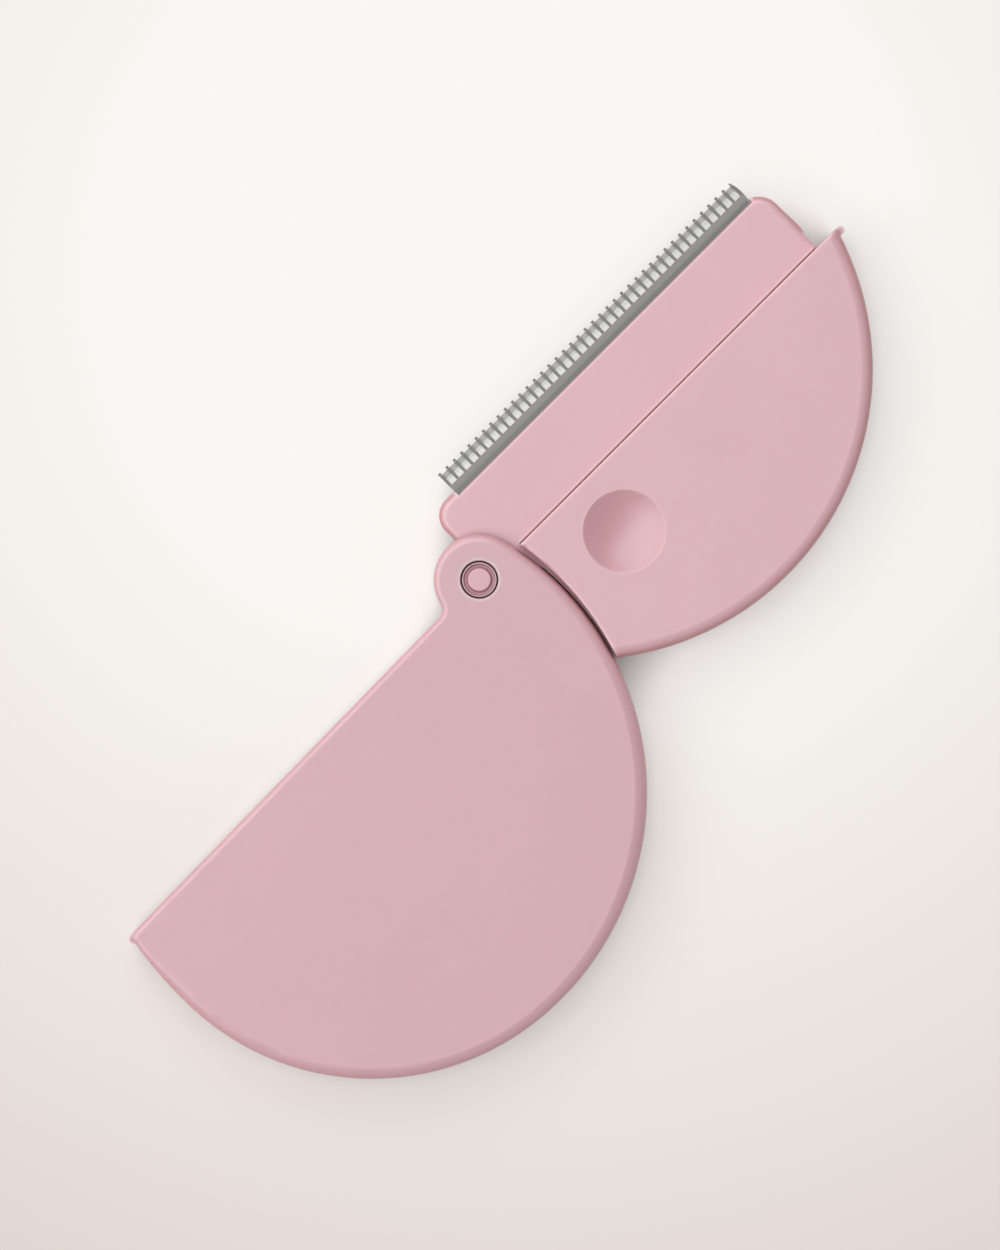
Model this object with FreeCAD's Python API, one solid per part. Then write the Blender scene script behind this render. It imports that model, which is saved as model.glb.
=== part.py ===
import FreeCAD, Part
import math
import os

# Folding eyebrow razor, open and lying on its back. Millimetres. The origin is on the hinge axis in
# the plane of the back. +X runs along the blade, +Y points out of the cutting edge, +Z is the front.

# Thickness, walls and running gaps
thickness = 6.8
face_wall = 1.25
rim_wall = 1.2
swing_gap = 0.3
chord_gap = 0.12
stop_gap = 0.15
tip_gap = 0.5
over_open = 0.8

# Case outline: knuckle round the hinge, then back, belly and tip arcs, each tangent to the next
knuckle_radius = 4.15
cove_radius = 1.1
back_radius = 26.5
back_lean = 13.9
belly_radius = 24.0
belly_lean = 8.1
tip_radius = 41.0
tip_round = 0.7
case_edge = 0.22

# Rounded edges
rim_fillet = 1.05
knuckle_fillet = 0.8
edge_fillet = 0.55
tongue_fillet = 0.7
cover_edge_fillet = 0.2
cut_edge_fillet = 0.3
cut_rim_fillet = 0.15
lip_chamfer = 0.12
ring_break = 0.09

# Seams that show between the pieces
seam_height = 0.08
seam_depth = 0.07
shadow_width = 0.13
shadow_depth = 0.3

# Joint between the two case shells
lip_height = 0.6
lip_width = 0.5
lip_gap = 0.05
post_radius = 0.9
post_depth = 1.5
post_fit = 0.03
boss_wall = 0.9
post_inset = 4.2
back_post_angles = (-65, -35)
belly_post_angles = (205, 235)

# Hinge pin and eye
pin_radius = 1.0
pin_run = 0.05
pin_skin = 0.6
head_radius = 1.56
head_height = 0.7
head_sink = 0.06
head_ring = 0.16
button_radius = 1.05
button_fillet = 0.1
groove_width = 0.42
groove_depth = 0.36
eye_margin = 0.55
thrust_gap = 0.06
thrust_width = 0.9
eye_recess = 1.0

# Holder half disc
holder_radius = 26.36
holder_rise = 6.89
tip_overhang = 0.2
core_gap = 0.1
case_gap = 0.22
gap_at_edge = 0.5
gap_at_middle = 0.33
gap_edge_angle = 11.0
gap_middle_angle = -1.5
gap_rim_angle = -18.0
neck_drop = 3.2
neck_reach = 8.0
dimple_x = 12.4
dimple_y = -6.2
dimple_radius = 3.8
dimple_depth = 0.92
cover_post_count = 4
cover_post_inset = 4.5

# Tongue of the carrier
tongue_start = 0.95
tongue_height = 7.3
tongue_near_round = 2.0
tongue_far_round = 2.2
notch_depth = 0.55
notch_gap = 0.05
detent_height = 0.14
detent_width = 2.4
detent_low = 1.95
detent_end_slope = 0.45
detent_start_slope = 2.3
heel_recess = 0.23
heel_cove = 0.45

# Finger nubs at the two tips
nub_radius = 0.38
nub_reach = 0.62
nub_height = 2.4

# Blade and guard
guard_start = 4.08
guard_end_margin = 1.5
rib_count = 41
rib_width = 0.27
sheet = 0.18
guard_clear = 0.41
guard_band = 0.72
guard_overhang = 0.27
guard_bulge = 0.09
guard_tip_taper = 0.15
blade_thickness = 0.3
blade_exposure = 2.4
blade_bevel = 0.68
blade_edge_land = 0.02
blade_tang = 4.3
blade_end_margin = 0.05
anchor_count = 3
anchor_radius = 0.9
anchor_depth = 2.3

# Levels and places that follow from the sizes above
middle = thickness / 2
carrier_low = face_wall + swing_gap
carrier_high = thickness - carrier_low
eye_radius = knuckle_radius - eye_margin
thrust_radius = pin_radius + thrust_width
wall_end = -(neck_drop + stop_gap)
holder_edge = -(case_edge + chord_gap)
lip = tongue_height - notch_depth
blade_edge = lip + blade_exposure
far_out = 4 * thickness

UP = FreeCAD.Vector(0, 0, 1)
HINGE = FreeCAD.Vector(0, 0, 0)


def at(x, y, z=0.0):
    return FreeCAD.Vector(x, y, z)


def polar(center, radius, angle):
    """Point at an angle, in degrees from +X, on a circle in the XY plane."""
    turn = math.radians(angle)
    return center + at(radius * math.cos(turn), radius * math.sin(turn))


def heading(start, end):
    """Direction from one point to another, in degrees from +X."""
    return math.degrees(math.atan2(end.y - start.y, end.x - start.x))


def leg(hypotenuse, side):
    return math.sqrt(hypotenuse ** 2 - side ** 2)


def arc(center, radius, start, end):
    """Counter-clockwise arc between two angles in degrees."""
    circle = Part.Circle(center, UP, radius)
    return Part.ArcOfCircle(circle, math.radians(start), math.radians(end)).toShape()


def line(start, end):
    return Part.makeLine(start, end)


def prism(edges, low, high):
    """Solid between two levels over a closed loop of edges drawn in the XY plane."""
    face = Part.Face(Part.Wire(edges))
    face.translate(at(0, 0, low))
    return face.extrude(at(0, 0, high - low))


def polygon(points):
    return [line(a, b) for a, b in zip(points, points[1:] + points[:1])]


def along_x(section, start, end):
    """Solid that keeps one section, a loop of points in Y and Z, between two places along X."""
    face = Part.Face(Part.Wire(polygon([at(start, y, z) for y, z in section])))
    return face.extrude(at(end - start, 0))


def disc(center, radius, low, high):
    return Part.makeCylinder(radius, high - low, at(center.x, center.y, low))


def block(x_low, x_high, y_low, y_high, low, high):
    return Part.makeBox(x_high - x_low, y_high - y_low, high - low, at(x_low, y_low, low))


def fuse(first, *others):
    return first.multiFuse(list(others)).removeSplitter()


def edge_number(solid, point):
    """Number, counted from 1, of the edge that passes nearest to a point."""
    spot = Part.Vertex(point)
    gaps = [edge.distToShape(spot)[0] for edge in solid.Edges]
    return gaps.index(min(gaps)) + 1


def round_edges(solid, rounds):
    """Round the edges through given points, each with a radius at its start and at its end."""
    document = FreeCAD.newDocument()
    base = document.addObject("Part::Feature", "Base")
    base.Shape = solid
    fillet = document.addObject("Part::Fillet", "Rounded")
    fillet.Base = base
    fillet.Edges = [(edge_number(solid, point), first, last) for point, first, last in rounds]
    document.recompute()
    rounded = fillet.Shape.copy()
    FreeCAD.closeDocument(document.Name)
    return rounded


# Centres of the case arcs, with the case's straight edge along X
back_center = polar(HINGE, back_radius - knuckle_radius, 180 + back_lean)
back_end = 270 - belly_lean
belly_center = polar(back_center, back_radius - belly_radius, back_end)
tip_center = belly_center + at(tip_radius - belly_radius, 0)


def tip_point(inset):
    """Where the tip arc, moved inwards by a distance, meets the case's straight edge."""
    return at(tip_center.x - leg(tip_radius - inset, case_edge - tip_center.y), case_edge)


tip_corner = tip_point(0)

# Centre of the holder's arc, whose tip meets the case's tip when the razor is shut
holder_tip = at(tip_overhang - tip_corner.x, holder_edge)
holder_center = at(holder_tip.x - leg(holder_radius, holder_rise - holder_edge), holder_rise)

dimple_center = at(dimple_x, dimple_y)

# Arcs that the holder is cut along, just outside the back of the open case
open_center = polar(HINGE, back_center.Length, heading(HINGE, back_center) + over_open)
core_cut = Part.Circle(open_center, UP, back_radius + core_gap)
cover_cut = Part.Circle(
    polar(open_center, back_radius + gap_at_edge, gap_edge_angle),
    polar(open_center, back_radius + gap_at_middle, gap_middle_angle),
    polar(open_center, back_radius + case_gap, gap_rim_angle),
)

# The tongue ends clear of the case's tip wall all through the swing
tongue_reach = tip_point(rim_wall).Length - tip_gap
far_round_reach = tongue_reach - tongue_far_round
tongue_end = tongue_far_round + leg(far_round_reach, tongue_height - tongue_far_round)
guard_end = tongue_end - guard_end_margin
rib_pitch = (guard_end - guard_start - rib_width) / (rib_count - 1)


def case_outline():
    """Outer edges of the case, in order from the straight edge round the tip, back and knuckle."""
    cove_rise = case_edge + cove_radius
    cove_center = at(-leg(knuckle_radius + cove_radius, cove_rise), cove_rise)
    tip_drop = case_edge - tip_round - tip_center.y
    round_center = at(tip_center.x - leg(tip_radius - tip_round, tip_drop), case_edge - tip_round)
    round_end = heading(tip_center, round_center) % 360
    cove_turn = heading(cove_center, HINGE)
    return [
        line(at(cove_center.x, case_edge), at(round_center.x, case_edge)),
        arc(round_center, tip_round, 90, round_end),
        arc(tip_center, tip_radius, round_end, 180),
        arc(belly_center, belly_radius, 180, back_end),
        arc(back_center, back_radius, back_end, 360 + back_lean),
        arc(HINGE, knuckle_radius, back_lean, cove_turn + 180),
        arc(cove_center, cove_radius, -90, cove_turn),
    ]


def case_inside(inset, low, high):
    """Space inside the case rim, open along the straight edge and round the knuckle."""
    tip_top = tip_point(inset)
    tip_start = heading(tip_center, tip_top)
    back_stop = math.degrees(math.asin((wall_end - back_center.y) / (back_radius - inset)))
    back_top = polar(back_center, back_radius - inset, back_stop)
    edges = [
        arc(tip_center, tip_radius - inset, tip_start % 360, 180),
        arc(belly_center, belly_radius - inset, 180, back_end),
        arc(back_center, back_radius - inset, back_end, 360 + back_stop),
        line(back_top, at(far_out, wall_end)),
        line(at(far_out, wall_end), at(far_out, far_out)),
        line(at(far_out, far_out), at(tip_top.x, far_out)),
        line(at(tip_top.x, far_out), tip_top),
    ]
    return prism(edges, low, high)


def case_half():
    """Rear half of the case without its fittings: a tray with rounded outer edges and a set-in seam."""
    outline = case_outline()
    seam_level = middle - seam_height
    tray = prism(outline, 0, seam_level)
    radii = [
        (edge_fillet, edge_fillet),
        (edge_fillet, edge_fillet),
        (edge_fillet, rim_fillet),
        (rim_fillet, rim_fillet),
        (rim_fillet, knuckle_fillet),
        (knuckle_fillet, knuckle_fillet),
        (edge_fillet, knuckle_fillet),
    ]
    middles = [edge.valueAt((edge.FirstParameter + edge.LastParameter) / 2) for edge in outline]
    tray = round_edges(tray, [(point, first, last) for point, (first, last) in zip(middles, radii)])
    seam = Part.Face(Part.Wire(outline)).makeOffset2D(-seam_depth)
    seam.translate(at(0, 0, seam_level))
    tray = tray.fuse(seam.extrude(at(0, 0, seam_height)))
    return tray.cut(case_inside(rim_wall, face_wall, middle))


def nub(tip, side, low, high):
    """Small rounded finger that points outwards from a tip along X."""
    y = tip.y - nub_radius
    end = at(tip.x + side * (nub_reach - nub_radius), y)
    root = tip.x - side * nub_radius
    bar = block(min(root, end.x), max(root, end.x), y - nub_radius, y + nub_radius, low, high)
    return fuse(bar, disc(end, nub_radius, low, high))


def case_posts():
    """Places of the posts that join the two shells, clear of the folded blade."""
    on_back = [polar(back_center, back_radius - post_inset, turn) for turn in back_post_angles]
    on_belly = [polar(belly_center, belly_radius - post_inset, turn) for turn in belly_post_angles]
    return on_back + on_belly


def swing_open(shape):
    """Turn a case piece about the hinge to where it lies when the razor is open."""
    shape.rotate(HINGE, UP, over_open)
    return shape


def make_case_rear_shell():
    boss_radius = post_radius + boss_wall
    lip_ring = case_inside(rim_wall - lip_width, middle, middle + lip_height)
    lip_ring = lip_ring.cut(case_inside(rim_wall, middle, middle + lip_height))
    lip_ring = lip_ring.common(prism(case_outline(), middle, middle + lip_height))
    shell = fuse(case_half(), lip_ring, nub(tip_corner, -1, middle - nub_height / 2, middle))
    for spot in case_posts():
        shell = shell.fuse(disc(spot, boss_radius, face_wall, middle))
        shell = shell.cut(disc(spot, post_radius + post_fit, middle - post_depth - post_fit, middle))
    spigot = disc(HINGE, thrust_radius, face_wall, carrier_low + eye_recess - thrust_gap)
    socket = disc(HINGE, pin_radius, pin_skin, middle)
    return swing_open(shell.fuse(spigot).cut(socket).removeSplitter())


def make_case_front_shell():
    boss_radius = post_radius + boss_wall
    shell = case_half().mirror(at(0, 0, middle), UP)
    groove = case_inside(rim_wall - lip_width - lip_gap, middle, middle + lip_height + lip_gap)
    shell = fuse(shell.cut(groove), nub(tip_corner, -1, middle, middle + nub_height / 2))
    for spot in case_posts():
        shell = shell.fuse(disc(spot, boss_radius, middle, thickness - face_wall))
        shell = shell.fuse(disc(spot, post_radius, middle - post_depth, middle))
    washer = disc(HINGE, thrust_radius, carrier_high + thrust_gap, thickness - face_wall)
    head_seat = thickness - head_sink - head_height
    bore = disc(HINGE, pin_radius + pin_run, middle, thickness)
    ring_radius = head_radius + head_ring
    counterbore = disc(HINGE, ring_radius, head_seat, thickness)
    mouth_low = at(0, 0, thickness - ring_break)
    mouth = Part.makeCone(ring_radius, ring_radius + ring_break, ring_break, mouth_low)
    shell = shell.fuse(washer).cut([bore, counterbore, mouth])
    return swing_open(shell.removeSplitter())


def pin_groove(top):
    """Round-bottomed groove that sets off the button in the middle of the pin's head."""
    half = groove_width / 2
    level = top - groove_depth + half
    ring = disc(HINGE, button_radius + groove_width, level, top)
    ring = ring.cut(disc(HINGE, button_radius, level, top))
    return ring.fuse(Part.makeTorus(button_radius + half, half, at(0, 0, level)))


def make_hinge_pin():
    top = thickness - head_sink
    shaft = disc(HINGE, pin_radius, pin_skin, top - head_height)
    head = disc(HINGE, head_radius, top - head_height, top)
    pin = fuse(shaft, head).cut(pin_groove(top))
    return round_edges(pin, [(at(button_radius, 0, top), button_fillet, button_fillet)])


def to_half_disc(plate, cut, low, high):
    """Cut a round plate to the holder's half disc, along an arc that clears the open case."""
    beyond = holder_radius + far_out
    upper = block(holder_center.x - beyond, holder_center.x + beyond,
                  holder_edge, holder_edge + 2 * beyond, low, high)
    return plate.cut([upper, disc(cut.Center, cut.Radius, low, high)])


def cover_seam(seat, face):
    """Ring that sets in the rim of a cover where it sits on the carrier."""
    low, high = sorted((seat, seat + math.copysign(seam_height, face - seat)))
    ring = disc(holder_center, holder_radius, low, high)
    return ring.cut(disc(holder_center, holder_radius - seam_depth, low, high))


def holder_cover(low, high, face):
    """Cover plate whose outer face is at the level face, with its free edges rounded."""
    plate = disc(holder_center, holder_radius, low, high)
    rim = holder_center + at(-holder_radius, 0, face)
    plate = round_edges(plate, [(rim, rim_fillet, rim_fillet)])
    plate = to_half_disc(plate.cut(cover_seam(low + high - face, face)), cover_cut, low, high)
    towards_dimple = heading(cover_cut.Center, dimple_center)
    cut_middle = polar(cover_cut.Center, cover_cut.Radius, towards_dimple) + at(0, 0, face)
    edge_middle = at(holder_center.x, holder_edge, face)
    return round_edges(plate, [
        (cut_middle, cut_rim_fillet, cut_edge_fillet),
        (edge_middle, cover_edge_fillet, cover_edge_fillet),
    ])


def cover_posts():
    """Places of the cover posts, even along the rim from the case's side to the straight edge."""
    reach = holder_radius - cover_post_inset
    across = (cover_cut.Center - holder_center).Length
    keep_off = cover_cut.Radius + cover_post_inset
    spread = math.acos((reach ** 2 + across ** 2 - keep_off ** 2) / (2 * reach * across))
    first = heading(holder_center, cover_cut.Center) + math.degrees(spread)
    last = -math.degrees(math.asin((holder_rise - holder_edge + cover_post_inset) / reach))
    step = (last - first) / (cover_post_count - 1)
    return [polar(holder_center, reach, first + number * step) for number in range(cover_post_count)]


def make_holder_rear_cover():
    cover = holder_cover(0, carrier_low, 0)
    posts = [disc(spot, post_radius, carrier_low, carrier_low + post_depth) for spot in cover_posts()]
    return fuse(cover, *posts)


def make_holder_front_cover():
    cover = holder_cover(carrier_high, thickness, thickness)
    ball_radius = (dimple_radius ** 2 + dimple_depth ** 2) / (2 * dimple_depth)
    ball_level = thickness - dimple_depth + ball_radius
    ball = Part.makeSphere(ball_radius, dimple_center + at(0, 0, ball_level))
    posts = [disc(spot, post_radius, carrier_high - post_depth, carrier_high) for spot in cover_posts()]
    return fuse(cover.cut(ball), *posts)


def tongue():
    """Blade tongue with rounded free edges, a detent at its end and the notch for the guard."""
    root = holder_edge - tongue_fillet
    near = at(tongue_start + tongue_near_round, tongue_height - tongue_near_round)
    far = at(tongue_end - tongue_far_round, tongue_height - tongue_far_round)
    sides = [
        line(at(tongue_end, root), at(tongue_end, far.y)),
        arc(far, tongue_far_round, 0, 90),
        line(at(far.x, tongue_height), at(near.x, tongue_height)),
        arc(near, tongue_near_round, 90, 180),
        line(at(tongue_start, near.y), at(tongue_start, root)),
    ]
    foot = line(at(tongue_start, root), at(tongue_end, root))
    bar = prism(sides + [foot], carrier_low, carrier_high)
    middles = [edge.valueAt((edge.FirstParameter + edge.LastParameter) / 2) for edge in sides]
    bar = round_edges(bar, [(point + at(0, 0, level), tongue_fillet, tongue_fillet)
                            for point in middles for level in (carrier_low, carrier_high)])
    step = block(tongue_end - heel_recess, far_out + tongue_end, root,
                 detent_low - detent_end_slope, carrier_low, carrier_high)
    return bar.cut([step, notch()]).fuse(detent())


def notch():
    """Space along the tongue that the guard stands in, with the edges of its floor chamfered."""
    section = [
        (lip, carrier_low + lip_chamfer),
        (lip, carrier_high - lip_chamfer),
        (lip - lip_chamfer, carrier_high),
        (lip + far_out, carrier_high),
        (lip + far_out, carrier_low),
        (lip - lip_chamfer, carrier_low),
    ]
    return along_x(section, guard_start - notch_gap, guard_end + notch_gap)


def detent():
    """Low ramped bump on the end of the tongue."""
    face = tongue_end - heel_recess
    top = detent_low + detent_width
    points = [
        at(face, detent_low - detent_end_slope),
        at(tongue_end + detent_height, detent_low),
        at(tongue_end + detent_height, top - detent_start_slope),
        at(tongue_end, top),
        at(face, top),
    ]
    return prism(polygon(points), carrier_low + tongue_fillet, carrier_high - tongue_fillet)


def heel():
    """Concave corner between the end of the tongue and the straight edge of the half disc."""
    face = tongue_end - heel_recess
    center = at(face + heel_cove, holder_edge + heel_cove)
    edges = [
        arc(center, heel_cove, 180, 270),
        line(at(center.x, holder_edge), at(face, holder_edge)),
        line(at(face, holder_edge), at(face, center.y)),
    ]
    return prism(edges, carrier_low + tongue_fillet, carrier_high - tongue_fillet)


def shadow_grooves():
    """Narrow grooves in the carrier along the straight edges of the two covers."""
    start = cover_cut.Center.x + leg(cover_cut.Radius, holder_edge - cover_cut.Center.y)
    edge = holder_edge + shadow_width
    levels = (carrier_low, carrier_high - shadow_depth)
    return [block(start, tongue_end, holder_edge, edge, low, low + shadow_depth) for low in levels]


def make_blade_carrier(blade):
    plate = disc(holder_center, holder_radius, carrier_low, carrier_high)
    core = to_half_disc(plate, core_cut, carrier_low, carrier_high)
    eye = disc(HINGE, eye_radius, carrier_low, carrier_high)
    neck = block(0, neck_reach, -neck_drop, 0, carrier_low, carrier_high)
    finger = nub(holder_tip, 1, middle - nub_height / 2, middle + nub_height / 2)
    carrier = fuse(core, eye, neck, tongue(), heel(), finger)
    carrier = carrier.cut(disc(HINGE, pin_radius + pin_run, carrier_low, carrier_high))
    recess_radius = thrust_radius + pin_run
    carrier = carrier.cut(disc(HINGE, recess_radius, carrier_low, carrier_low + eye_recess))
    for spot in cover_posts():
        carrier = carrier.cut(disc(spot, post_radius + post_fit, carrier_low, carrier_high))
    return carrier.cut([blade] + shadow_grooves())


def make_blade():
    """Strip with a ground edge on both sides and anchor holes in the part that the carrier holds."""
    half = blade_thickness / 2
    low = lip - blade_tang
    bevel = blade_edge - blade_bevel
    land = blade_edge_land / 2
    start = guard_start + blade_end_margin
    end = guard_end - blade_end_margin
    section = [
        (low, middle - half),
        (bevel, middle - half),
        (blade_edge, middle - land),
        (blade_edge, middle + land),
        (bevel, middle + half),
        (low, middle + half),
    ]
    strip = along_x(section, start, end)
    spacing = (end - start) / (anchor_count + 1)
    for number in range(anchor_count):
        spot = at(start + spacing * (number + 1), lip - anchor_depth)
        strip = strip.cut(disc(spot, anchor_radius, middle - half, middle + half))
    return strip


def guard_section():
    """Section of the folded guard across the blade, as a face in the YZ plane."""
    inner = blade_thickness / 2
    outer = inner + sheet
    foot = lip + guard_clear
    fold = blade_edge + guard_overhang - outer

    def spot(y, z):
        return at(guard_start, y, middle + z)

    edges = [
        line(spot(foot, -outer), spot(fold, -outer)),
        Part.Arc(spot(fold, -outer), spot(fold + outer, 0), spot(fold, outer)).toShape(),
        line(spot(fold, outer), spot(foot, outer)),
        line(spot(foot, outer), spot(foot, inner)),
        line(spot(foot, inner), spot(fold, inner)),
        Part.Arc(spot(fold, inner), spot(fold + inner, 0), spot(fold, -inner)).toShape(),
        line(spot(fold, -inner), spot(foot, -inner)),
        line(spot(foot, -inner), spot(foot, -outer)),
    ]
    return Part.Face(Part.Wire(edges))


def guard_far_end():
    """Space past the guard's far end, which bulges a little and tapers to the tip of its last rib."""
    foot = lip + guard_clear
    tip = blade_edge + guard_overhang
    low = at(guard_end, foot)
    high = at(guard_end - guard_tip_taper, tip)
    swell = at(guard_end + guard_bulge, (foot + tip) / 2)
    outer = guard_end + far_out
    loop = [
        at(low.x, foot - sheet),
        at(outer, foot - sheet),
        at(outer, tip + sheet),
        at(high.x, tip + sheet),
    ]
    edges = [line(a, b) for a, b in zip([low] + loop, loop + [high])]
    return prism(edges + [Part.Arc(high, swell, low).toShape()], 0, thickness)


def make_blade_guard():
    """Folded sheet over the blade, slotted so that ribs stand between windows."""
    guard = guard_section().extrude(at(guard_end + guard_bulge - guard_start, 0))
    guard = guard.cut(guard_far_end())
    window_low = lip + guard_clear + guard_band
    reach = blade_thickness / 2 + sheet
    windows = []
    for number in range(rib_count - 1):
        left = guard_start + rib_width + number * rib_pitch
        windows.append(block(left, left + rib_pitch - rib_width, window_low,
                             blade_edge + far_out, middle - reach, middle + reach))
    return guard.cut(windows)


def main():
    os.makedirs("parts", exist_ok=True)
    blade = make_blade()
    parts = {
        "case_front_shell": make_case_front_shell(),
        "case_rear_shell": make_case_rear_shell(),
        "hinge_pin": make_hinge_pin(),
        "blade_carrier": make_blade_carrier(blade),
        "holder_front_cover": make_holder_front_cover(),
        "holder_rear_cover": make_holder_rear_cover(),
        "blade": blade,
        "blade_guard": make_blade_guard(),
    }
    for name, shape in parts.items():
        shape.exportStep(f"parts/{name}.step")
        print(name, len(shape.Solids), "solid", shape.isValid(), round(shape.Volume, 2), "mm3")


main()
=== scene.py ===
import math

import bpy
from mathutils import Matrix, Vector


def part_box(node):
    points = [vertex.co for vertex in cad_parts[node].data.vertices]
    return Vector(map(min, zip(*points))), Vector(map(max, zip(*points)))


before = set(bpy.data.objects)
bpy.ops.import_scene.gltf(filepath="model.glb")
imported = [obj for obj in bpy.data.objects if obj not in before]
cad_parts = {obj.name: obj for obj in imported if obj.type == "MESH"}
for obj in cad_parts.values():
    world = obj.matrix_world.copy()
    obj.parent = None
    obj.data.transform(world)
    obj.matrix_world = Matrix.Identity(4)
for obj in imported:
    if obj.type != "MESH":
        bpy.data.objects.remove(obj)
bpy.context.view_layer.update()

MM = 0.001

# Colours are linear. Lengths are in metres, in the part's own frame.
CASE_PINK = (0.580, 0.334, 0.372)
HOLDER_PINK = (0.620, 0.364, 0.406)
TONGUE_PINK = (0.630, 0.368, 0.406)
PIN_PINK = (0.610, 0.340, 0.378)
# Painted shade: the inside of the thumb dimple is painted darker than the cover
DIMPLE_PAINTED_SHADE = (0.560, 0.287, 0.318)
# Painted tones for the upright sides: painted light on the case, painted shade on the holder and
# carrier
CASE_SIDES_PAINTED_LIGHT = (0.615, 0.330, 0.366)
HOLDER_SIDES_PAINTED_SHADE = (0.525, 0.218, 0.244)
# Painted shade for grooves and crevices, which also tints their reflection
CASE_CREVICE_PAINTED_SHADE = (0.160, 0.045, 0.050)
HOLDER_CREVICE_PAINTED_SHADE = (0.420, 0.165, 0.175)
CARRIER_CREVICE_PAINTED_SHADE = (0.600, 0.280, 0.300)
PIN_CREVICE_PAINTED_SHADE = (0.260, 0.090, 0.100)
GUARD_BAND = (0.226, 0.228, 0.224)
GUARD_RIB = (0.165, 0.163, 0.161)
# Painted shade on the blade's shank, below the guard
BLADE_SHANK_PAINTED_SHADE = (0.135, 0.130, 0.127)
BLADE_FACE = (0.455, 0.455, 0.452)
BLADE_BEVEL = (0.235, 0.234, 0.232)
FLOOR_MIDDLE = (0.935, 0.915, 0.885)
FLOOR_FAR = (0.730, 0.655, 0.617)
WHITE = (1, 1, 1)

# Moulded plastic: noise scales are in waves per metre, tones multiply the colour
CLOUD_SCALE = 90
CLOUD_DARK_TONE = 0.985
CLOUD_LIGHT_TONE = 1.015
FLOW_SCALE = 240
FLOW_STRETCH = (0.3, 1, 1)
FLOW_TONE = 0.96
FLOW_SHARE = 0.25
GRAIN_SCALE = 5200
GRAIN_STRENGTH = 0.10
GRAIN_DEPTH = 0.02 * MM
SHEEN_SCALE = 700
SHEEN_SMOOTH = 0.34
SHEEN_ROUGH = 0.42
EDGE_HIGHLIGHT_REACH = 0.35 * MM
CREVICE_REACH = 0.8 * MM
# Painted highlights: share by which sharp front and back edges are moved towards white
CASE_EDGE_HIGHLIGHT_PALENESS = 0.5
HOLDER_EDGE_HIGHLIGHT_PALENESS = 0.4

# Thumb dimple, seen from the front
DIMPLE_CENTER = (12.4 * MM, -6.2 * MM, 0)
DIMPLE_RADIUS = 3.8 * MM
DIMPLE_FADE_START = 0.95 * DIMPLE_RADIUS
SEEN_FROM_FRONT = (1, 1, 0)

# Steel: brushed along the guard, ground across the blade
SCRATCH_SCALE = 9000
SCRATCH_DEPTH = 0.01 * MM
BRUSHED_ALONG = (0.02, 1, 1)
GROUND_ACROSS = (1, 0.04, 1)

# Levels across the blade, measured from the hinge towards the cutting edge
FACE_START = 7.16 * MM
RIB_START = 7.88 * MM
BEVEL_START = 8.47 * MM

# Floor
FLOOR_LIGHTEST = (22 * MM, 17 * MM, 0)
FLOOR_LIGHT_RADIUS = 35 * MM
FLOOR_FAR_RADIUS = 105 * MM
FLOOR_HALF = 2.0
FLOOR_DROP = 0.02 * MM
FLOOR_SHADOW_REACH = 6 * MM
FLOOR_PLAIN_SHARE = 0.65

# Camera: the lens and the sensor are in millimetres, the frame is in metres
LENS = 300.0
SENSOR = 36.0
FRAME_HEIGHT = 113.25 * MM
FRAME_CENTER = (-1.58 * MM, -4.23 * MM)


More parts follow.
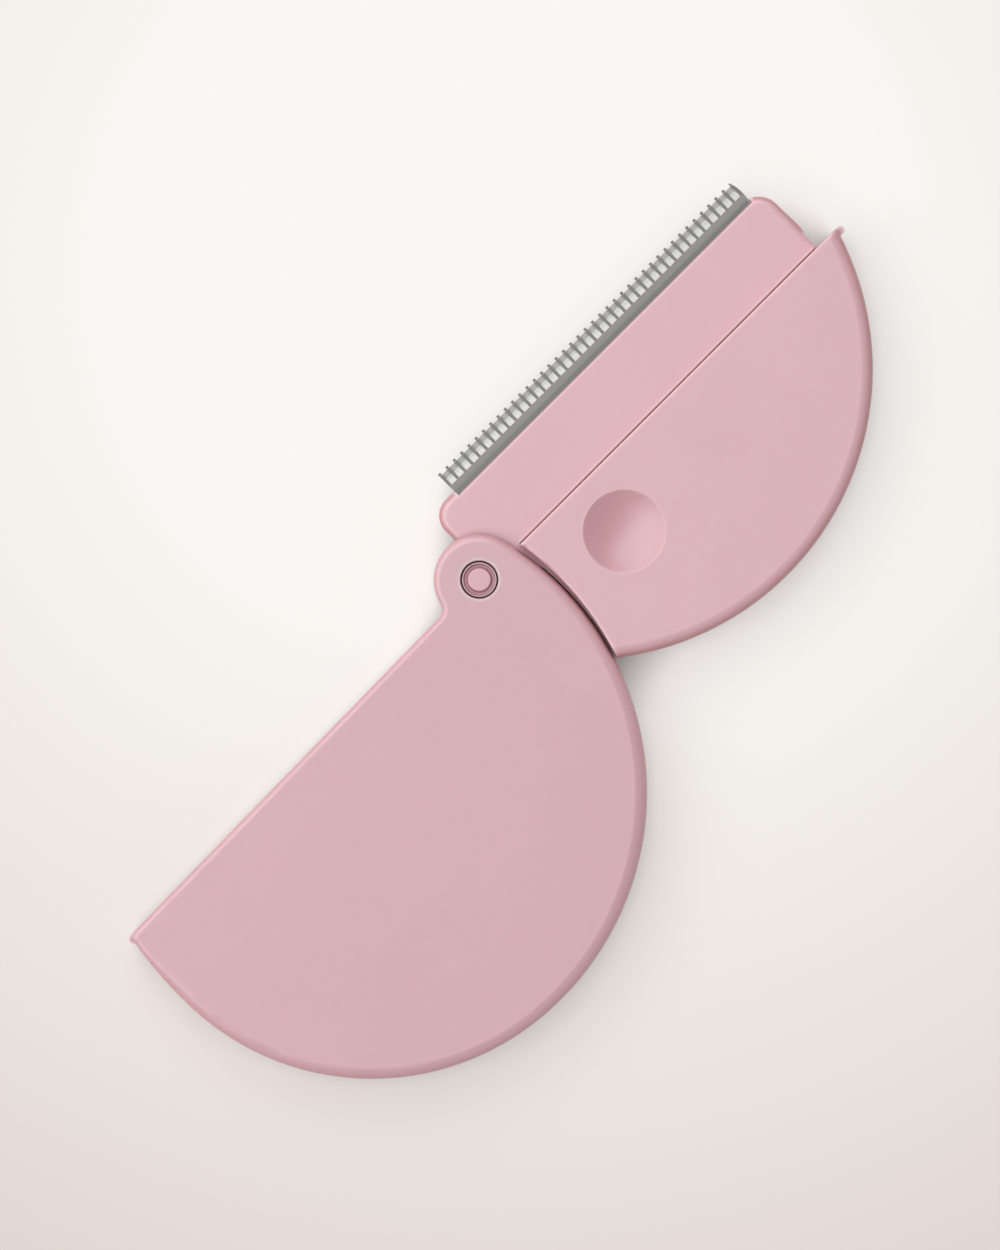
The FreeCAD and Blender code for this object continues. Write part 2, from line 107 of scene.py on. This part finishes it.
class Nodes:
    """Short ways to add and join the nodes of one node tree."""

    def __init__(self, tree):
        self.tree = tree
        tree.nodes.clear()

    def add(self, kind, inputs=None, **settings):
        """Add a node; an input given as a socket is joined, any other input is set."""
        node = self.tree.nodes.new(kind)
        for name, value in settings.items():
            setattr(node, name, value)
        for name, value in (inputs or {}).items():
            self.feed(node.inputs[name], value)
        return node

    def feed(self, socket, value):
        if isinstance(value, bpy.types.NodeSocket):
            self.tree.links.new(value, socket)
        elif socket.type == "RGBA":
            socket.default_value = (*value, 1.0)
        else:
            socket.default_value = value

    def compute(self, operation, *values):
        return self.add("ShaderNodeMath", dict(enumerate(values)), operation=operation).outputs[0]

    def coordinate(self, kind):
        return self.add("ShaderNodeTexCoord").outputs[kind]

    def axis(self, vector, letter):
        return self.add("ShaderNodeSeparateXYZ", {"Vector": vector}).outputs[letter]

    def place(self, stretch=(1, 1, 1)):
        """Position on the object in metres, stretched along each axis."""
        inputs = {"Vector": self.coordinate("Object"), "Scale": stretch}
        return self.add("ShaderNodeMapping", inputs).outputs["Vector"]

    def away(self, center, stretch=(1, 1, 1)):
        """Distance from a point."""
        inputs = {0: self.place(stretch), 1: center}
        return self.add("ShaderNodeVectorMath", inputs, operation="DISTANCE").outputs["Value"]

    def noise(self, scale, detail=2.0, roughness=0.5, stretch=(1, 1, 1)):
        inputs = {
            "Vector": self.place(stretch),
            "Scale": scale,
            "Detail": detail,
            "Roughness": roughness,
        }
        return self.add("ShaderNodeTexNoise", inputs).outputs["Fac"]

    def spread(self, value, low, high, start=0.0, end=1.0):
        """Map a value between start and end to low and high, held at both ends."""
        inputs = {"Value": value, "From Min": start, "From Max": end, "To Min": low, "To Max": high}
        return self.add("ShaderNodeMapRange", inputs).outputs["Result"]

    def spread_noise(self, noise, low, high):
        """Low to high over the values that noise mostly takes."""
        usual_low, usual_high = 0.3, 0.7
        return self.spread(noise, low, high, usual_low, usual_high)

    def past(self, value, level, before, after):
        """Zero below a level and one above it, fading from before it to after it."""
        return self.spread(value, 0, 1, level - before, level + after)

    def mix(self, amount, first, second):
        node = self.add("ShaderNodeMix", data_type="RGBA")
        sockets = [s for s in node.inputs if s.enabled]
        for socket, value in zip(sockets, (amount, first, second)):
            self.feed(socket, value)
        return next(s for s in node.outputs if s.enabled)

    def mix_shaders(self, amount, first, second):
        inputs = {0: amount, 1: first.outputs[0], 2: second.outputs[0]}
        return self.add("ShaderNodeMixShader", inputs)

    def openness(self, reach, **settings):
        """One where nothing is near, zero where all of the space within reach is filled."""
        inputs = {"Distance": reach}
        return self.add("ShaderNodeAmbientOcclusion", inputs, samples=8, **settings).outputs["AO"]

    def crevice(self, reach):
        """One deep in narrow grooves, zero in the open."""
        deep, shallow = 0.1, 0.8
        return self.spread(self.openness(reach), 1, 0, deep, shallow)

    def levelness(self):
        """One on the piece's front and back, zero on its upright sides."""
        return self.compute("ABSOLUTE", self.axis(self.coordinate("Normal"), "Z"))

    def rim(self):
        """One on the piece's upright sides, zero on its front and back."""
        steep, gentle = 0.6, 0.96
        return self.spread(self.levelness(), 1, 0, steep, gentle)

    def edge(self, reach):
        """One along the sharper convex edges of the piece's front and back, zero elsewhere."""
        sharp, blunt = 0.55, 0.95
        upright, leaning = 0.1, 0.4
        thickness = self.openness(reach, inside=True, only_local=True)
        on_edge = self.spread(thickness, 1, 0, sharp, blunt)
        off_sides = self.spread(self.levelness(), 0, 1, upright, leaning)
        return self.compute("MULTIPLY", on_edge, off_sides)

    def bump(self, height, strength, distance):
        inputs = {"Height": height, "Strength": strength, "Distance": distance}
        return self.add("ShaderNodeBump", inputs).outputs["Normal"]

    def show(self, shader, output="ShaderNodeOutputMaterial"):
        self.add(output, {"Surface": shader.outputs[0]})


def shade(color, tone):
    """Lighter or darker version of a colour."""
    return tuple(channel * tone for channel in color)


def paler(color, share):
    """Colour moved towards white."""
    return tuple(channel + (1 - channel) * share for channel in color)


def new_material(name):
    material = bpy.data.materials.new(name)
    material.use_nodes = True
    return material, Nodes(material.node_tree)


def mottled(nodes, color):
    """Colour with the faint clouds and flow lines of moulded plastic."""
    clouds = nodes.spread_noise(nodes.noise(CLOUD_SCALE, detail=3), 0, 1)
    flow = nodes.spread_noise(nodes.noise(FLOW_SCALE, stretch=FLOW_STRETCH), 0, FLOW_SHARE)
    paint = nodes.mix(clouds, shade(color, CLOUD_DARK_TONE), shade(color, CLOUD_LIGHT_TONE))
    return nodes.mix(flow, paint, shade(color, FLOW_TONE))


def moulded_plastic(name, color, rim, edge, groove, dimple=None):
    """Satin moulded plastic: fine grain and an uneven sheen, with a painted tone on the upright
    sides, painted highlights along sharp edges, painted shade in the dimple, and painted shade in
    grooves that also dims their reflection.
    """
    material, nodes = new_material(name)
    # Upright sides get a painted tone: painted light on the case, painted shade on the holder and
    # carrier
    paint = nodes.mix(nodes.rim(), mottled(nodes, color), rim)
    # Painted shade inside the thumb dimple
    if dimple:
        from_center = nodes.away(DIMPLE_CENTER, SEEN_FROM_FRONT)
        in_dimple = nodes.spread(from_center, 1, 0, DIMPLE_FADE_START, DIMPLE_RADIUS)
        paint = nodes.mix(in_dimple, paint, dimple)
    # Painted highlight along sharp front and back edges
    paint = nodes.mix(nodes.edge(EDGE_HIGHLIGHT_REACH), paint, edge)
    # Painted shade in grooves and crevices
    crevice = nodes.crevice(CREVICE_REACH)
    paint = nodes.mix(crevice, paint, groove)
    grain = nodes.noise(GRAIN_SCALE, detail=3, roughness=0.6)
    sheen = nodes.noise(SHEEN_SCALE, detail=4)
    nodes.show(nodes.add("ShaderNodeBsdfPrincipled", {
        "Base Color": paint,
        "Roughness": nodes.spread_noise(sheen, SHEEN_SMOOTH, SHEEN_ROUGH),
        "IOR": 1.6,
        "Specular IOR Level": 1.0,
        # Painted shade in grooves also dims their reflection
        "Specular Tint": nodes.mix(crevice, WHITE, groove),
        "Subsurface Weight": 0.5,
        "Subsurface Radius": (1.0, 0.35, 0.35),
        "Subsurface Scale": 1.2 * MM,
        "Normal": nodes.bump(grain, GRAIN_STRENGTH, GRAIN_DEPTH),
    }))
    return material


def across_blade(nodes):
    """Distance from the hinge towards the cutting edge."""
    return nodes.axis(nodes.place(), "Y")


def finish_steel(nodes, paint, metallic, roughness, normal):
    nodes.show(nodes.add("ShaderNodeBsdfPrincipled", {
        "Base Color": paint,
        "Metallic": metallic,
        "Roughness": roughness,
        "Normal": normal,
    }))


def guard_steel(name):
    """Dull pressed sheet, brushed along the guard, with the drawn ribs darker than the band and
    painted shade along the band's foot.
    """
    foot_shade_tone, foot_shade_width = 0.82, 0.35 * MM
    scratch_tone, scratch_share = 0.7, 0.35
    smooth, rough = 0.34, 0.46
    material, nodes = new_material(name)
    brushed = nodes.noise(SCRATCH_SCALE, detail=4, roughness=0.7, stretch=BRUSHED_ALONG)
    across = across_blade(nodes)
    on_rib = nodes.past(across, RIB_START, before=0.05 * MM, after=0.1 * MM)
    foot_painted_shade = nodes.spread(across, 1, 0, FACE_START, FACE_START + foot_shade_width)
    scratches = nodes.spread_noise(brushed, 0, scratch_share)
    # Painted shade along the band's foot, next to the tongue
    paint = nodes.mix(foot_painted_shade, GUARD_BAND, shade(GUARD_BAND, foot_shade_tone))
    paint = nodes.mix(on_rib, paint, GUARD_RIB)
    paint = nodes.mix(scratches, paint, shade(GUARD_BAND, scratch_tone))
    roughness = nodes.spread_noise(brushed, smooth, rough)
    normal = nodes.bump(brushed, strength=0.08, distance=SCRATCH_DEPTH)
    finish_steel(nodes, paint, metallic=0.5, roughness=roughness, normal=normal)
    return material


def blade_steel(name):
    """Polished strip whose edge is ground across, with painted shade on the shank below the guard."""
    scratch_tone, scratch_share = 0.8, 0.12
    polished, ground_rough = 0.22, 0.48
    material, nodes = new_material(name)
    across = across_blade(nodes)
    on_face = nodes.past(across, FACE_START, before=0.05 * MM, after=0.3 * MM)
    on_bevel = nodes.past(across, BEVEL_START, before=0.16 * MM, after=0.2 * MM)
    ground = nodes.noise(SCRATCH_SCALE, detail=3, roughness=0.7, stretch=GROUND_ACROSS)
    scratches = nodes.spread_noise(ground, 0, scratch_share)
    # Painted shade on the shank below the guard
    paint = nodes.mix(on_face, BLADE_SHANK_PAINTED_SHADE, BLADE_FACE)
    paint = nodes.mix(on_bevel, paint, BLADE_BEVEL)
    paint = nodes.mix(scratches, paint, shade(BLADE_BEVEL, scratch_tone))
    roughness = nodes.spread(on_bevel, polished, ground_rough)
    normal = nodes.bump(ground, strength=0.06, distance=SCRATCH_DEPTH)
    finish_steel(nodes, paint, metallic=1.0, roughness=roughness, normal=normal)
    return material


def dress_nodes():
    """Give every solid its material."""
    case_edge_highlight = paler(CASE_PINK, CASE_EDGE_HIGHLIGHT_PALENESS)
    holder_edge_highlight = paler(HOLDER_PINK, HOLDER_EDGE_HIGHLIGHT_PALENESS)
    case = moulded_plastic("case_plastic", CASE_PINK, CASE_SIDES_PAINTED_LIGHT, case_edge_highlight, CASE_CREVICE_PAINTED_SHADE)
    pin = moulded_plastic("pin_plastic", PIN_PINK, PIN_PINK, PIN_PINK, PIN_CREVICE_PAINTED_SHADE)
    carrier = moulded_plastic("carrier_plastic", TONGUE_PINK, HOLDER_SIDES_PAINTED_SHADE, holder_edge_highlight, CARRIER_CREVICE_PAINTED_SHADE)
    cover = (HOLDER_PINK, HOLDER_SIDES_PAINTED_SHADE, holder_edge_highlight, HOLDER_CREVICE_PAINTED_SHADE)
    materials = {
        "case_front_shell": case,
        "case_rear_shell": case,
        "hinge_pin": pin,
        "blade_carrier": carrier,
        "holder_front_cover": moulded_plastic("front_cover_plastic", *cover, dimple=DIMPLE_PAINTED_SHADE),
        "holder_rear_cover": moulded_plastic("rear_cover_plastic", *cover),
        "blade": blade_steel("blade_steel"),
        "blade_guard": guard_steel("guard_steel"),
    }
    for name, material in materials.items():
        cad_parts[name].material_slots[0].material = material


def eye_or_gloss(nodes):
    """One for what the camera, a gloss or glass looks at, zero for what light falls on."""
    path = nodes.add("ShaderNodeLightPath")
    seen = path.outputs["Is Camera Ray"]
    for ray in ("Is Glossy Ray", "Is Transmission Ray"):
        seen = nodes.compute("MAXIMUM", seen, path.outputs[ray])
    return seen


def floor_material():
    """Pale paper with a painted pool of light, lightest beyond the blade and darker and warmer
    towards the far edges, with a faint shadow that is real in the paper share and painted in the
    glow.
    """
    shadow_dark, shadow_end = 0.05, 0.62
    material, nodes = new_material("floor_paper")
    # Painted pool of light: lightest round one point, darker and warmer further out
    far = nodes.spread(nodes.away(FLOOR_LIGHTEST), 0, 1, FLOOR_LIGHT_RADIUS, FLOOR_FAR_RADIUS)
    color = nodes.mix(far, FLOOR_MIDDLE, FLOOR_FAR)
    # Painted contact shadow: the glow dims where the floor is closed in
    glow_with_painted_shadow = nodes.spread(nodes.openness(FLOOR_SHADOW_REACH), 0, 1, shadow_dark, shadow_end)
    paper = nodes.add("ShaderNodeBsdfDiffuse", {"Color": color})
    plain = nodes.add("ShaderNodeEmission", {"Color": color, "Strength": glow_with_painted_shadow})
    share = nodes.compute("MULTIPLY", eye_or_gloss(nodes), FLOOR_PLAIN_SHARE)
    nodes.show(nodes.mix_shaders(share, paper, plain))
    return material


def make_floor():
    half = FLOOR_HALF
    mesh = bpy.data.meshes.new("floor")
    corners = [(-half, -half, 0), (half, -half, 0), (half, half, 0), (-half, half, 0)]
    mesh.from_pydata(corners, [], [(0, 1, 2, 3)])
    floor = bpy.data.objects.new("floor", mesh)
    floor.location.z = -FLOOR_DROP
    floor.data.materials.append(floor_material())
    bpy.context.scene.collection.objects.link(floor)


def aim(thing, spot, target, up):
    """Place a camera or lamp at a spot, looking at a target, with a direction that points up."""
    back = (spot - target).normalized()
    right = up.cross(back).normalized()
    turn = Matrix((right, back.cross(right), back)).transposed()
    thing.matrix_world = Matrix.Translation(spot) @ turn.to_4x4()


def make_softbox(name, azimuth, tilt, distance, width, height, power):
    """Soft box at an azimuth from +X and a tilt from straight above, in degrees."""
    lamp = bpy.data.lights.new(name, "AREA")
    lamp.shape = "RECTANGLE"
    lamp.size = width
    lamp.size_y = height
    lamp.energy = power
    item = bpy.data.objects.new(name, lamp)
    bpy.context.scene.collection.objects.link(item)
    item.visible_camera = False
    turn = math.radians(azimuth)
    lean = math.radians(tilt)
    outward = Vector((math.cos(turn), math.sin(turn), 0))
    upward = Vector((0, 0, 1))
    spot = (outward * math.sin(lean) + upward * math.cos(lean)) * distance
    aim(item, spot, Vector(), outward)


def make_world(level, backdrop, ceiling):
    """Even soft light from all round, with a pale backdrop and a darker ceiling for eye and gloss."""
    ceiling_start, ceiling_end = 0.4, 0.9
    world = bpy.data.worlds.new("studio")
    world.use_nodes = True
    nodes = Nodes(world.node_tree)
    height = nodes.axis(nodes.coordinate("Generated"), "Z")
    overhead = nodes.spread(height, 0, 1, ceiling_start, ceiling_end)
    room = nodes.mix(overhead, backdrop, ceiling)
    light = nodes.add("ShaderNodeBackground", {"Color": WHITE, "Strength": level})
    pale = nodes.add("ShaderNodeBackground", {"Color": room, "Strength": 1.0})
    nodes.show(nodes.mix_shaders(eye_or_gloss(nodes), light, pale), "ShaderNodeOutputWorld")
    bpy.context.scene.world = world


def make_camera():
    """Camera straight above, turned so that the blade runs up to the right."""
    camera = bpy.data.cameras.new("camera")
    camera.lens = LENS
    camera.sensor_width = SENSOR
    camera.clip_start = 0.05
    camera.clip_end = 20
    item = bpy.data.objects.new("camera", camera)
    bpy.context.scene.collection.objects.link(item)
    front_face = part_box("case_front_shell")[1].z
    target = Vector((*FRAME_CENTER, front_face))
    distance = FRAME_HEIGHT * LENS / SENSOR
    aim(item, target + Vector((0, 0, distance)), target, Vector((1, 1, 0)))
    bpy.context.scene.camera = item


dress_nodes()
make_floor()
make_softbox("softbox", azimuth=107, tilt=28, distance=1.6, width=3.2, height=1.74, power=36)
make_world(level=0.34, backdrop=(0.92, 0.90, 0.89), ceiling=(0.50, 0.50, 0.50))
make_camera()
bpy.context.scene.view_settings.view_transform = "Standard"
